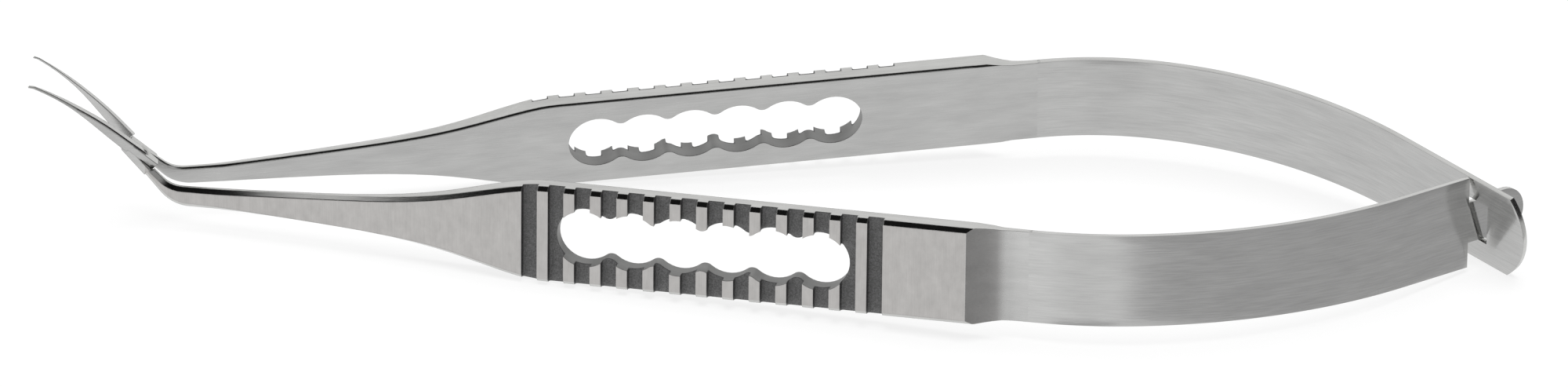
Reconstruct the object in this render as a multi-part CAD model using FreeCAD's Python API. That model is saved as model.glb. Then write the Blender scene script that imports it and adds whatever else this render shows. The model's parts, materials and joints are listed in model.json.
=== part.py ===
import FreeCAD, Part
import math
import os

# Capsulorhexis forceps with crossed tips, millimetres and degrees.
# The part lies at rest with its tips open: +X runs from the tips to the rear, +Z is up,
# and the XZ plane is the mid-plane between the two halves.
# Left and right are as seen from the handles, looking towards the tips.
#
# Each half is drawn in a home frame, closed, with the pivot at the origin and its handle level.
# A half is drawn with its handle on the -Y side. The right half is that drawing mirrored in Y.

# Scissor action
PIVOT_TILT = 47.0          # pivot axis, leaning rearwards from the vertical
HALF_OPENING = 11.2        # turn of each half about the pivot, from closed to rest
HANDLE_SPLAY = 3.06        # angle of a handle to the mid-plane when the tips meet
PIVOT_RISE = 2.66          # pivot above the centre line of the handles
PIVOT_TO_SLOT = 42.46      # pivot to the middle of the grip slot
MATING_GAP = 0.02          # half of the gap between the flat faces of the closed shaft
LEG_STRAIGHT = 6.1         # length behind the pivot along which the legs lie on the mid-plane

# Lap joint at the crossing
BLADE_WIDTH = 1.3
BLADE_HEIGHT = 0.54
LAP_RADIUS = 1.4
LAP_CLEARANCE = 0.05
LAP_GAP = 0.01             # half of the gap between the two blades

# Pivot rivet
RIVET_RADIUS = 0.28
RIVET_CLEARANCE = 0.02     # radial, in the upper blade, which turns on the rivet
RIVET_HEAD_RADIUS = 0.42
RIVET_HEAD_HEIGHT = 0.14
RIVET_HEAD_GAP = 0.01

# Shaft between the bend and the crossing
LEG_WIDTH = 0.65
LEG_HEIGHT = 0.98          # at the bend
LEG_FRONT_HEIGHT = 0.62    # at the crossing
LEG_OFFSET = 0.21          # one leg is this much above the lap plane, the other below
BEND_TOP_RADIUS = 2.2
BEND_BOTTOM_RADIUS = 2.8

# Tips, as distances along the shaft from the pivot and heights from the lap plane
TIP_ROOT = (0.68, -0.2)
TIP_STRAIGHT = 3.0         # up to here the tip runs on in line with the shaft
TIP_STRAIGHT_END = (0.58, -0.16)
TIP_MIDDLE = 6.6
TIP_MIDDLE_HEIGHTS = (0.17, -0.1)
TIP_LENGTH = 10.2
TIP_END_HEIGHTS = (-0.7, -0.84)
TIP_END_SLOPE = 19.0       # fall of the tip end against the shaft
TIP_WIDTH = 0.62
TIP_MIDDLE_WIDTH = 0.52
TIP_END_WIDTH = 0.18
TIP_CHAMFER = 0.12         # upper outer edge, from the crossing to the middle of the tip
HOOK_LENGTH = 0.38         # bent end that tears the capsule
HOOK_SLOPE = 34.0

# Handle outline, measured along the handle from the middle of the slot
NECK_HEIGHT = 1.5
NECK_OFFSET = 0.28         # one neck is this much above the handle line, the other below
NECK_RISE = 0.05
NECK_START = 3.915         # here the bent leg ends and the neck begins, behind the pivot
SPINDLE_HEIGHTS = ((31.8, 2.0), (24.8, 2.93), (19.4, 4.47), (14.5, 6.8))
SPINDLE_OFFSETS = (1.0, 0.8, 0.35, 0.0)
GRIP_FRONT = 11.6
GRIP_HEIGHT = 7.5
GRIP_THICKNESS = 1.61
NECK_THICKNESS = 0.76
THICKNESS_STATIONS = ((29.0, 0.82), (18.5, 1.34))
THICK_FRONT = 12.4         # full thickness from here to the shoulder
SHOULDER = 19.6            # rear end of the thick block
OUTER_CHAMFER = 0.3        # long edges of the outer face, from the crossing to the shoulder
INNER_CHAMFER = 0.13       # long edges of the inner face, as far back
BLOCK_END = 20.2           # here the sides start to taper to the leaf's height

# Lobed slot through the grip
LOBE_COUNT = 6
LOBE_PITCH = 3.5
LOBE_RADIUS = 2.17
CUSP_RADIUS = 0.65

# Finger grooves, flat channels across the outer face
GROOVE_COUNT = 14
GROOVE_PITCH = 1.98
GROOVE_WIDTH = 1.16
GROOVE_DEPTH = 0.57
GROOVE_CORNER = 0.18       # radius between the walls of a groove and its floor

# Leaf springs
LEAF_THICKNESS = 0.42
LEAF_HEIGHT = 7.05
LEAF_ROOT = 24.0           # flexing line, from the middle of the slot
LEAF_TAPER = 1.9           # length behind the block that narrows to the leaf height
FIRST_RADIUS = 26.7
FIRST_SWEEP = 17.2
SECOND_RADIUS = 35.4
SECOND_SWEEP = 34.0
LEAF_STRAIGHT = 7.0        # from the second arc to the crossing of the leaves
ROOT_CLEARANCE = 0.025

# Interlock of the leaves, as distances along a leaf from the crossing
SHOULDER_GAP = 0.8
NECK_LENGTH = 1.0
TONGUE_NECK = 3.15
TONGUE_HEAD = 3.6
TONGUE_LENGTH = 4.5
WINDOW_HEIGHT = 3.5
WINDOW_FRONT = 1.4
WINDOW_REAR = 1.35
PLATE_SIDE = 3.4
PLATE_BULGE = 1.4

# Derived values of the home frame
TILT = math.radians(PIVOT_TILT)
SPLAY = math.radians(HANDLE_SPLAY)
AXIS = FreeCAD.Vector(math.sin(TILT), 0, math.cos(TILT))
ORIGIN = FreeCAD.Vector(0, 0, 0)
HANDLE_Z = -PIVOT_RISE
SLOT_X = PIVOT_TO_SLOT
NECK_END = (SLOT_X - NECK_START) / math.cos(SPLAY)
SLOT_Y = -MATING_GAP - (SLOT_X - LEG_STRAIGHT) * math.tan(SPLAY)
FAR = 200.0
FAR_SIDE = 4.0             # reach of the cutters at the crossing, either side of a leaf
CUT_OVER = 1.0             # how far an outline runs on beyond what it cuts
EDGE_MATCH = 0.01          # how near an edge must lie to a face or a limit to count as on it
EDGE_SHORTEST = 0.3        # edges shorter than this along X stay sharp


def vec(x, y, z):
    return FreeCAD.Vector(x, y, z)


def shaft_point(along, height):
    """Point of the XZ plane at a distance along the shaft and a height over the lap plane."""
    x = height * math.sin(TILT) - along * math.cos(TILT)
    z = height * math.cos(TILT) + along * math.sin(TILT)
    return vec(x, 0, z)


def handle_point(along, outward, height):
    """Point in the frame of a handle: along it from the slot, outward from its inner face."""
    x = SLOT_X + along * math.cos(SPLAY) - outward * math.sin(SPLAY)
    y = SLOT_Y - along * math.sin(SPLAY) - outward * math.cos(SPLAY)
    return vec(x, y, HANDLE_Z + height)


def corner_on_shaft(height, z):
    """Corner where a line along the shaft at this height meets the level z."""
    along = (z - height * math.cos(TILT)) / math.sin(TILT)
    return shaft_point(along, height)


def rounded_corner(before, corner, after, radius):
    """Tangent arc of the radius at a corner, as its start, its middle and its end."""
    back = (before - corner).normalize()
    on = (after - corner).normalize()
    half = back.getAngle(on) / 2
    reach = radius / math.tan(half)
    start = corner + back * reach
    end = corner + on * reach
    centre = corner + (back + on).normalize() * (radius / math.sin(half))
    middle = centre + (corner - centre).normalize() * radius
    return start, middle, end


def line(start, end):
    return Part.LineSegment(start, end).toShape()


def arc(start, middle, end):
    return Part.Arc(start, middle, end).toShape()


def spline(points, first_tangent, last_tangent):
    curve = Part.BSplineCurve()
    curve.interpolate(Points=points, InitialTangent=first_tangent, FinalTangent=last_tangent)
    return curve.toShape()


def prism(edges, direction):
    return Part.Face(Part.Wire(Part.__sortEdges__(edges))).extrude(direction)


def spindle_edge(side, lap):
    """Upper (side 1) or lower (side -1) edge from the neck to the grip, in the XZ plane."""
    stations = [(NECK_END, NECK_HEIGHT, 1.0)]
    for (along, height), share in zip(SPINDLE_HEIGHTS, SPINDLE_OFFSETS):
        stations.append((along, height, share))
    stations.append((GRIP_FRONT, GRIP_HEIGHT, 0.0))
    offset = NECK_RISE + lap * NECK_OFFSET
    points = []
    for along, height, share in stations:
        point = handle_point(-along, 0, side * height / 2 + offset * share)
        points.append(vec(point.x, 0, point.z))
    return spline(points, vec(1, 0, 0), vec(1, 0, 0)), points[0], points[-1]


def side_outline(lap):
    """Outline of a half in the XZ plane, from inside the crossing to the root of its leaf."""
    leg_top = lap * LEG_OFFSET + LEG_HEIGHT / 2
    leg_bottom = lap * LEG_OFFSET - LEG_HEIGHT / 2
    top, top_front, top_rear = spindle_edge(1, lap)
    bottom, bottom_front, bottom_rear = spindle_edge(-1, lap)
    top_start = shaft_point(0, lap * LEG_OFFSET + LEG_FRONT_HEIGHT / 2)
    bottom_start = shaft_point(0, lap * LEG_OFFSET - LEG_FRONT_HEIGHT / 2)
    top_bend = rounded_corner(
        top_start, corner_on_shaft(leg_top, top_front.z), top_front, BEND_TOP_RADIUS
    )
    bottom_bend = rounded_corner(
        bottom_start, corner_on_shaft(leg_bottom, bottom_front.z), bottom_front, BEND_BOTTOM_RADIUS
    )
    rear = [vec(handle_point(BLOCK_END, 0, 0).x, 0, top_rear.z)]
    rear.append(vec(handle_point(BLOCK_END + LEAF_TAPER, 0, 0).x, 0, HANDLE_Z + LEAF_HEIGHT / 2))
    rear.append(vec(handle_point(LEAF_ROOT + GRIP_THICKNESS, 0, 0).x, 0, rear[-1].z))
    rear += [vec(point.x, 0, 2 * HANDLE_Z - point.z) for point in reversed(rear)]
    stations = [top_rear] + rear + [bottom_rear]
    rear_lines = [line(start, end) for start, end in zip(stations, stations[1:])]
    return [
        line(bottom_start, top_start),
        line(top_start, top_bend[0]),
        arc(*top_bend),
        line(top_bend[2], top_front),
        top,
        *rear_lines,
        bottom,
        line(bottom_front, bottom_bend[2]),
        arc(bottom_bend[2], bottom_bend[1], bottom_bend[0]),
        line(bottom_bend[0], bottom_start),
    ]


def shoulder_arc():
    """Concave arc from the outer edge of the block down to the leaf, tangent to the leaf."""
    drop = GRIP_THICKNESS - LEAF_THICKNESS
    reach = LEAF_ROOT - SHOULDER - LEAF_THICKNESS
    radius = (reach ** 2 + drop ** 2) / (2 * drop)
    half = math.atan2(reach, radius - drop) / 2
    start = handle_point(SHOULDER, GRIP_THICKNESS, 0)
    end = handle_point(SHOULDER + reach, LEAF_THICKNESS, 0)
    middle_along = SHOULDER + reach - radius * math.sin(half)
    middle_out = LEAF_THICKNESS + radius * (1 - math.cos(half))
    return arc(start, handle_point(middle_along, middle_out, 0), end), start, end


def plan_outline():
    """Outline of a leg and handle seen from above, up to the round end that carries the leaf."""
    root = leaf_root()
    inner_front = vec(shaft_point(LAP_RADIUS, LEG_HEIGHT).x, -MATING_GAP, HANDLE_Z)
    outer_front = vec(inner_front.x, -LEG_WIDTH, HANDLE_Z)
    kink = vec(LEG_STRAIGHT, -MATING_GAP, HANDLE_Z)
    neck = handle_point(-NECK_END, NECK_THICKNESS, 0)
    stations = [neck]
    for along, thickness in THICKNESS_STATIONS:
        stations.append(handle_point(-along, thickness, 0))
    stations.append(handle_point(-THICK_FRONT, GRIP_THICKNESS, 0))
    handle_way = vec(math.cos(SPLAY), -math.sin(SPLAY), 0)
    shoulder, block_end, leaf_start = shoulder_arc()
    inner_end = handle_point(LEAF_ROOT, 0, 0)
    outer_end = handle_point(LEAF_ROOT, LEAF_THICKNESS, 0)
    round_end = root + handle_way * (LEAF_THICKNESS / 2)
    return [
        line(inner_front, kink),
        line(kink, inner_end),
        arc(inner_end, round_end, outer_end),
        line(outer_end, leaf_start),
        shoulder,
        line(block_end, stations[-1]),
        spline(stations, handle_way, handle_way),
        line(neck, outer_front),
        line(outer_front, inner_front),
    ]


def leaf_root():
    """Middle of the leaf's thickness on its flexing line."""
    return handle_point(LEAF_ROOT, LEAF_THICKNESS / 2, 0)


def handle_solid(lap):
    """Leg and handle: the side outline and the plan outline, each extruded, in common."""
    side = prism(side_outline(lap), vec(0, -FAR, 0))
    plan = prism(plan_outline(), vec(0, 0, FAR))
    plan.translate(vec(0, 0, -FAR / 2))
    solid = side.common(plan)
    solid = solid.makeChamfer(OUTER_CHAMFER, long_edges(solid, SHOULDER, True))
    return solid.makeChamfer(INNER_CHAMFER, long_edges(solid, BLOCK_END, False))


def long_edges(solid, end, outer):
    """Upper and lower edges of the outer or the inner face, from the neck to a distance.

    A chamfer on them carries on along the leg, whose edges are tangent to these.
    """
    front = handle_point(-NECK_END, 0, 0).x
    rear = handle_point(end, GRIP_THICKNESS if outer else 0, 0).x
    edges = []
    for edge in solid.Edges:
        box = edge.BoundBox
        middle = edge.valueAt((edge.FirstParameter + edge.LastParameter) / 2)
        outward = inner_face_y(middle.x) - middle.y
        on_face = outward > LEG_WIDTH / 2 if outer else abs(outward) < EDGE_MATCH
        between = box.XMin > front - EDGE_MATCH and box.XMax < rear + EDGE_MATCH
        if on_face and between and box.XLength > EDGE_SHORTEST:
            edges.append(edge)
    return edges


def inner_face_y(x):
    if x < LEG_STRAIGHT:
        return -MATING_GAP
    return -MATING_GAP - (x - LEG_STRAIGHT) * math.tan(SPLAY)


def lobed_slot():
    """Cutter for the slot: overlapping round lobes with rounded cusps between them."""
    half_pitch = LOBE_PITCH / 2
    cusp_height = math.sqrt((LOBE_RADIUS + CUSP_RADIUS) ** 2 - half_pitch ** 2)
    touch_along = half_pitch * LOBE_RADIUS / (LOBE_RADIUS + CUSP_RADIUS)
    touch_height = cusp_height * LOBE_RADIUS / (LOBE_RADIUS + CUSP_RADIUS)
    outward = GRIP_THICKNESS + CUT_OVER
    first = -LOBE_PITCH * (LOBE_COUNT - 1) / 2
    edges = []
    for side in (1, -1):
        for lobe in range(LOBE_COUNT):
            middle = first + lobe * LOBE_PITCH
            start = (middle - touch_along, side * touch_height)
            end = (middle + touch_along, side * touch_height)
            if lobe == 0:
                start = (middle - LOBE_RADIUS, 0)
            if lobe == LOBE_COUNT - 1:
                end = (middle + LOBE_RADIUS, 0)
            top = (middle, side * LOBE_RADIUS)
            edges.append(arc(*[handle_point(a, outward, h) for a, h in (start, top, end)]))
            if lobe < LOBE_COUNT - 1:
                low = (middle + half_pitch, side * (cusp_height - CUSP_RADIUS))
                after = (middle + LOBE_PITCH - touch_along, side * touch_height)
                edges.append(arc(*[handle_point(a, outward, h) for a, h in (end, low, after)]))
    return prism(edges, handle_point(0, -CUT_OVER, 0) - handle_point(0, outward, 0))


def grooves():
    """Cutters for the finger grooves, over the full height of the handle."""
    first = -GROOVE_PITCH * (GROOVE_COUNT - 1) / 2
    floor = GRIP_THICKNESS - GROOVE_DEPTH
    above = GRIP_THICKNESS + CUT_OVER
    cutters = []
    for groove in range(GROOVE_COUNT):
        low = first + groove * GROOVE_PITCH - GROOVE_WIDTH / 2
        high = low + GROOVE_WIDTH
        outline = [(low, above), (low, floor), (high, floor), (high, above)]
        corners = [handle_point(along, outward, -GRIP_HEIGHT) for along, outward in outline]
        left = rounded_corner(corners[0], corners[1], corners[2], GROOVE_CORNER)
        right = rounded_corner(corners[1], corners[2], corners[3], GROOVE_CORNER)
        cutters.append(prism([
            line(corners[0], left[0]), arc(*left), line(left[2], right[0]), arc(*right),
            line(right[2], corners[3]), line(corners[3], corners[0]),
        ], vec(0, 0, 2 * GRIP_HEIGHT)))
    return cutters


def blade(lap):
    """Flat round-ended blade of the lap joint, on its own side of the lap plane."""
    height = BLADE_HEIGHT - LAP_GAP
    disc = Part.makeCylinder(LAP_RADIUS, height, ORIGIN, AXIS)
    strip = Part.makeBox(4 * LAP_RADIUS, BLADE_WIDTH, height)
    strip.translate(vec(-2 * LAP_RADIUS, -BLADE_WIDTH / 2, 0))
    strip.rotate(ORIGIN, vec(0, 1, 0), PIVOT_TILT)
    shape = disc.common(strip)
    shape.translate(AXIS * (LAP_GAP if lap > 0 else -BLADE_HEIGHT))
    return shape


def tip_edge(edge):
    """Upper (0) or lower (1) edge of a tip: straight from the pivot, then curving down."""
    start = shaft_point(0, TIP_ROOT[edge])
    straight = shaft_point(TIP_STRAIGHT, TIP_STRAIGHT_END[edge])
    middle = shaft_point(TIP_MIDDLE, TIP_MIDDLE_HEIGHTS[edge])
    end = shaft_point(TIP_LENGTH, TIP_END_HEIGHTS[edge])
    curve = spline([straight, middle, end], (straight - start).normalize(), falling(TIP_END_SLOPE))
    return line(start, straight), curve, start, end


def falling(slope):
    """Direction towards the tip, falling from the line of the shaft by an angle."""
    slope = math.radians(slope)
    return shaft_point(math.cos(slope), -math.sin(slope))


def tip_solid():
    """Tip beyond the crossing, on the +Y side, tapering to a small hook."""
    top_line, top_curve, top_start, top_end = tip_edge(0)
    low_line, low_curve, low_start, low_end = tip_edge(1)
    hook_top = top_end + falling(HOOK_SLOPE) * HOOK_LENGTH
    hook_low = low_end + falling(HOOK_SLOPE) * HOOK_LENGTH
    profile = prism([
        low_line, low_curve, line(low_end, hook_low), line(hook_low, hook_top),
        line(hook_top, top_end), top_curve, top_line, line(top_start, low_start),
    ], vec(0, 2 * TIP_WIDTH, 0))
    root_x = shaft_point(LAP_RADIUS, 0).x
    corners = [
        (CUT_OVER, MATING_GAP), (CUT_OVER, TIP_WIDTH), (root_x, TIP_WIDTH),
        (shaft_point(TIP_MIDDLE, 0).x, TIP_MIDDLE_WIDTH), (hook_low.x, TIP_END_WIDTH),
        (hook_low.x - CUT_OVER, TIP_END_WIDTH), (hook_low.x - CUT_OVER, MATING_GAP),
        (CUT_OVER, MATING_GAP),
    ]
    taper = Part.makePolygon([vec(x, y, -FAR) for x, y in corners])
    return chamfer_tip(profile.common(Part.Face(taper).extrude(vec(0, 0, 2 * FAR))))


def chamfer_tip(tip):
    """Chamfer the upper outer edge of a tip, from the crossing to its middle."""
    front = shaft_point(TIP_MIDDLE, 0).x - EDGE_MATCH
    edges = []
    for edge in tip.Edges:
        box = edge.BoundBox
        middle = edge.valueAt((edge.FirstParameter + edge.LastParameter) / 2)
        upper = middle.dot(AXIS) > TIP_STRAIGHT_END[0] / 2
        outer = box.YMin > TIP_MIDDLE_WIDTH - EDGE_MATCH
        if upper and outer and box.XMin > front and box.XLength > EDGE_SHORTEST:
            edges.append(edge)
    return tip.makeChamfer(TIP_CHAMFER, edges)


def lap_recess(lap):
    """Round recess that clears the other half's blade, on the other side of the lap plane."""
    radius = LAP_RADIUS + LAP_CLEARANCE
    recess = Part.makeCylinder(radius, FAR, AXIS * -LAP_GAP, AXIS)
    if lap > 0:
        recess = Part.makeCylinder(radius, FAR, AXIS * LAP_GAP, AXIS * -1)
    return recess


def arm(lap):
    """One half without its leaf. lap is 1 for the upper blade and -1 for the lower one."""
    body = handle_solid(lap)
    body = body.fuse([tip_solid(), blade(lap)])
    body = body.cut([lap_recess(lap), lobed_slot()] + grooves())
    hole_radius = RIVET_RADIUS + (RIVET_CLEARANCE if lap > 0 else 0)
    hole = Part.makeCylinder(hole_radius, FAR, AXIS * (-FAR / 2), AXIS)
    seat_radius = RIVET_HEAD_RADIUS + RIVET_CLEARANCE
    seat = Part.makeCylinder(seat_radius, FAR, AXIS * lap * BLADE_HEIGHT, AXIS * lap)
    return body.cut([hole, seat]).removeSplitter()


def build_rivet():
    """Rivet with two low domed heads. Its shank fits tight in the lower blade."""
    seat = BLADE_HEIGHT + RIVET_HEAD_GAP
    shank = Part.makeCylinder(RIVET_RADIUS, seat + BLADE_HEIGHT, AXIS * -BLADE_HEIGHT, AXIS)
    head_sphere = (RIVET_HEAD_RADIUS ** 2 + RIVET_HEAD_HEIGHT ** 2) / (2 * RIVET_HEAD_HEIGHT)
    heads = []
    for side, base in ((1, seat), (-1, BLADE_HEIGHT)):
        centre = AXIS * side * (base + RIVET_HEAD_HEIGHT - head_sphere)
        ball = Part.makeSphere(head_sphere, centre)
        disc = Part.makeCylinder(RIVET_HEAD_RADIUS, RIVET_HEAD_HEIGHT, AXIS * side * base, AXIS * side)
        heads.append(ball.common(disc))
    return shank.fuse(heads)


def leaf_arcs():
    """Lengths along the leaf's centre line at the ends of its two arcs."""
    first = math.radians(FIRST_SWEEP) * FIRST_RADIUS
    return first, first + math.radians(SECOND_SWEEP) * SECOND_RADIUS


def crossing_distance():
    """Length of the leaf's centre line from the root to the crossing of the two leaves."""
    return leaf_arcs()[1] + LEAF_STRAIGHT


def leaf_point(distance, inward):
    """Point beside the leaf's centre line, at a distance from the root, seen from above."""
    first_end, second_end = leaf_arcs()
    if distance <= first_end:
        return arc_point(leaf_root(), -SPLAY, FIRST_RADIUS, distance, inward)
    start = leaf_point(first_end, 0)
    heading = math.radians(FIRST_SWEEP) - SPLAY
    if distance <= second_end:
        return arc_point(start, heading, SECOND_RADIUS, distance - first_end, inward)
    start = leaf_point(second_end, inward)
    heading += math.radians(SECOND_SWEEP)
    return start + vec(math.cos(heading), math.sin(heading), 0) * (distance - second_end)


def arc_point(start, heading, radius, distance, inward):
    """Point beside an arc that leaves its start at a heading and turns inward."""
    centre = start + vec(-math.sin(heading), math.cos(heading), 0) * radius
    heading += distance / radius
    return centre + vec(math.sin(heading), -math.cos(heading), 0) * (radius - inward)


def leaf_strip(length):
    """Plain strip, bent inward in two arcs and straight at its end."""
    first_end, second_end = leaf_arcs()
    middle = (first_end + second_end) / 2
    stations = (0, first_end / 2, first_end, middle, second_end, length)
    sides = []
    edges = []
    for inward in (LEAF_THICKNESS / 2, -LEAF_THICKNESS / 2):
        points = [leaf_point(distance, inward) for distance in stations]
        edges += [arc(*points[0:3]), arc(*points[2:5]), line(points[4], points[5])]
        sides.append(points)
    edges.append(line(sides[0][0], sides[1][0]))
    edges.append(line(sides[0][-1], sides[1][-1]))
    strip = prism(edges, vec(0, 0, LEAF_HEIGHT))
    strip.translate(vec(0, 0, -LEAF_HEIGHT / 2))
    return strip


def crossing_cutter(edges):
    """Extrude an outline drawn along the leaf and in height straight through the crossing."""
    heading = math.radians(FIRST_SWEEP + SECOND_SWEEP) - SPLAY
    cutter = prism(edges, vec(0, 2 * FAR_SIDE, 0))
    cutter.translate(vec(0, -FAR_SIDE, 0))
    cutter.rotate(ORIGIN, vec(0, 0, 1), math.degrees(heading))
    cutter.translate(leaf_point(crossing_distance(), 0))
    return cutter


def box_edges(front, rear, low, high):
    corners = [vec(front, 0, low), vec(rear, 0, low), vec(rear, 0, high), vec(front, 0, high)]
    return [line(corners[i], corners[(i + 1) % 4]) for i in range(4)]


def tongue_cutter():
    """What is cut from the lower half's leaf to leave its tongue: a neck and a round head."""
    neck = crossing_cutter(box_edges(-SHOULDER_GAP, NECK_LENGTH, -TONGUE_NECK / 2, TONGUE_NECK / 2))
    head_half = TONGUE_HEAD / 2
    round_start = TONGUE_LENGTH - head_half
    low = vec(round_start, 0, -head_half)
    high = vec(round_start, 0, head_half)
    head = crossing_cutter([
        line(vec(NECK_LENGTH, 0, -head_half), low), arc(low, vec(TONGUE_LENGTH, 0, 0), high),
        line(high, vec(NECK_LENGTH, 0, head_half)),
        line(vec(NECK_LENGTH, 0, head_half), vec(NECK_LENGTH, 0, -head_half)),
    ])
    rest = crossing_cutter(box_edges(-SHOULDER_GAP, 2 * TONGUE_LENGTH, -LEAF_HEIGHT, LEAF_HEIGHT))
    return rest.cut([neck, head])


def plate_cutters():
    """What is cut from the upper half's leaf: its window, and the round of its end."""
    window = crossing_cutter(
        box_edges(-WINDOW_FRONT, WINDOW_REAR, -WINDOW_HEIGHT / 2, WINDOW_HEIGHT / 2)
    )
    half = LEAF_HEIGHT / 2
    low = vec(PLATE_SIDE, 0, -half)
    high = vec(PLATE_SIDE, 0, half)
    plate = crossing_cutter([arc(low, vec(PLATE_SIDE + PLATE_BULGE, 0, 0), high), line(high, low)])
    rest = crossing_cutter(box_edges(PLATE_SIDE, 2 * PLATE_SIDE, -LEAF_HEIGHT, LEAF_HEIGHT))
    return [window, rest.cut(plate)]


def spring(lap):
    """Leaf spring of one half, with the tongue (lap -1) or the window (lap 1) at its end."""
    beyond = TONGUE_LENGTH + LEAF_THICKNESS
    if lap > 0:
        beyond = PLATE_SIDE + PLATE_BULGE + LEAF_THICKNESS
    strip = leaf_strip(crossing_distance() + beyond)
    root = leaf_root()
    base = root - vec(0, 0, LEAF_HEIGHT)
    knuckle = Part.makeCylinder(LEAF_THICKNESS / 2 + ROOT_CLEARANCE, 2 * LEAF_HEIGHT, base)
    if lap > 0:
        return strip.cut([knuckle] + plate_cutters())
    return strip.cut([knuckle, tongue_cutter()])


def opened(thing, lap):
    """Mirror the right half's drawing and turn a half about the pivot from closed to rest."""
    if lap > 0:
        thing = thing.mirror(ORIGIN, vec(0, 1, 0))
    thing.rotate(ORIGIN, AXIS, lap * HALF_OPENING)
    return thing


def opened_point(point, lap):
    return opened(Part.Vertex(point), lap).Point


def resting_pitch():
    """Pitch that lays the fronts of the grips and the corner of the window plate level."""
    front = opened_point(handle_point(-GRIP_FRONT, 0, -GRIP_HEIGHT / 2), 1)
    corner = leaf_point(crossing_distance() + PLATE_SIDE, 0)
    corner.z = HANDLE_Z - LEAF_HEIGHT / 2
    rear = opened_point(corner, 1)
    return math.degrees(math.atan2(rear.z - front.z, rear.x - front.x))


def main():
    """Build every piece in the home frame, open the halves, lay the part down and write it."""
    nodes = {
        "left_arm": opened(arm(-1), -1),
        "right_arm": opened(arm(1), 1),
        "left_spring": opened(spring(-1), -1),
        "right_spring": opened(spring(1), 1),
        "pivot_rivet": opened(build_rivet(), -1),
    }
    pitch = resting_pitch()
    for shape in nodes.values():
        shape.rotate(ORIGIN, vec(0, 1, 0), pitch)
    box = Part.Compound(list(nodes.values())).optimalBoundingBox()
    shift = vec(-box.Center.x, -box.Center.y, -box.ZMin)
    for shape in nodes.values():
        shape.translate(shift)
    os.makedirs("parts", exist_ok=True)
    for name, shape in nodes.items():
        shape.exportStep("parts/" + name + ".step")
    print_places(pitch, shift)


def flex_turn():
    """Turn of a leaf at its root that keeps the crossing on the mid-plane, rest to closed."""
    root = leaf_root()
    reach = leaf_point(crossing_distance(), 0) - root
    length = math.hypot(reach.x, reach.y)
    return math.degrees(math.atan2(reach.y, reach.x) - math.asin(-root.y / length))


def print_places(pitch, shift):
    """Print the joints' places and directions at rest, for the part's record."""
    def placed(point, lap):
        vertex = opened(Part.Vertex(point), lap)
        vertex.rotate(ORIGIN, vec(0, 1, 0), pitch)
        return vertex.Point + shift

    pivot = placed(ORIGIN, -1)
    print("pivot", pivot, "axis", placed(AXIS, -1) - pivot)
    for name, lap in (("left", -1), ("right", 1)):
        root = placed(leaf_root(), lap)
        print(name, "root", root, "axis", placed(leaf_root() + vec(0, 0, 1), lap) - root)
    print("turn to close", 2 * HALF_OPENING, "leaf flex", flex_turn())
    print("pitch", pitch, "shift", shift)


if __name__ == "__main__":
    main()
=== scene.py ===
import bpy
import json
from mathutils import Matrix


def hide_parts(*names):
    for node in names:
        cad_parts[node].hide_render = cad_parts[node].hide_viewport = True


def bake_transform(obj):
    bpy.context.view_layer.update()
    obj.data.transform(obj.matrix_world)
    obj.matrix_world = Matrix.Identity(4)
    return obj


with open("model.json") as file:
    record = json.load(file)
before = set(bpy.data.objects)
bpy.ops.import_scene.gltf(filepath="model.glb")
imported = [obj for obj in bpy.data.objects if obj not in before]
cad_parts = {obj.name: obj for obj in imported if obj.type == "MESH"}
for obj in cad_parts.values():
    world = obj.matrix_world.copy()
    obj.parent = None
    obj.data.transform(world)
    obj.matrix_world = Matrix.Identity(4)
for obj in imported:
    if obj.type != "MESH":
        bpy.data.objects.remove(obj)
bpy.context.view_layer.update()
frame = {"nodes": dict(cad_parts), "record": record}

import json
import logging
import math
from dataclasses import dataclass, field
from enum import Enum

import bmesh
import bpy
from mathutils import Matrix, Vector

# Looks of a pair of cross-action capsulorhexis forceps in satin stainless steel.
# The arms and the rivet are the CAD nodes with procedural finishes. The two leaf springs are
# pieces of their own.
# Sizes are millimetres as in the part's source, and places become metres.

MM = 0.001
# Points of a leaf less than this many mm behind its root lie on its front edge.
EDGE_MATCH = 0.001
# Places on the flat leaf that agree to this many decimals of a mm are one point.
DECIMALS = 5
# Between these two values lies nearly all of the noise of the lines, and of the grit.
LINE_SPAN = (0.25, 0.75)
GRIT_SPAN = (0.3, 0.7)
LOG = logging.getLogger("forceps")


def linear(hex_colour: str) -> tuple[float, float, float, float]:
    """Turn an sRGB hex colour into linear values.

    Args:
        hex_colour: six hex digits with a leading #.

    Returns:
        Red, green, blue and an alpha of 1.
    """
    channels = []
    for start in (1, 3, 5):
        value = int(hex_colour[start:start + 2], 16) / 255
        channels.append(value / 12.92 if value <= 0.04045 else ((value + 0.055) / 1.055) ** 2.4)
    return channels[0], channels[1], channels[2], 1.0


def add_node(tree: bpy.types.NodeTree, kind: str, settings: dict | None = None,
             inputs: dict | None = None) -> bpy.types.Node:
    """Add one node with its settings, and give each named input a value or a link.

    Args:
        tree: the node tree that gets the node.
        kind: Blender's type name of the node.
        settings: attributes of the node and their values.
        inputs: names or numbers of inputs, each with a value or with the socket to link.

    Returns:
        The new node.
    """
    node = tree.nodes.new(kind)
    for name, value in (settings or {}).items():
        setattr(node, name, value)
    for name, value in (inputs or {}).items():
        if isinstance(value, bpy.types.NodeSocket):
            tree.links.new(value, node.inputs[name])
        else:
            node.inputs[name].default_value = value
    return node


def new_finish(name: str) -> tuple[bpy.types.Material, bpy.types.NodeTree]:
    """Start a material that has no node yet.

    Args:
        name: name of the material.

    Returns:
        The material and its node tree.
    """
    material = bpy.data.materials.new(name)
    material.use_nodes = True
    material.node_tree.nodes.clear()
    return material, material.node_tree


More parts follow.
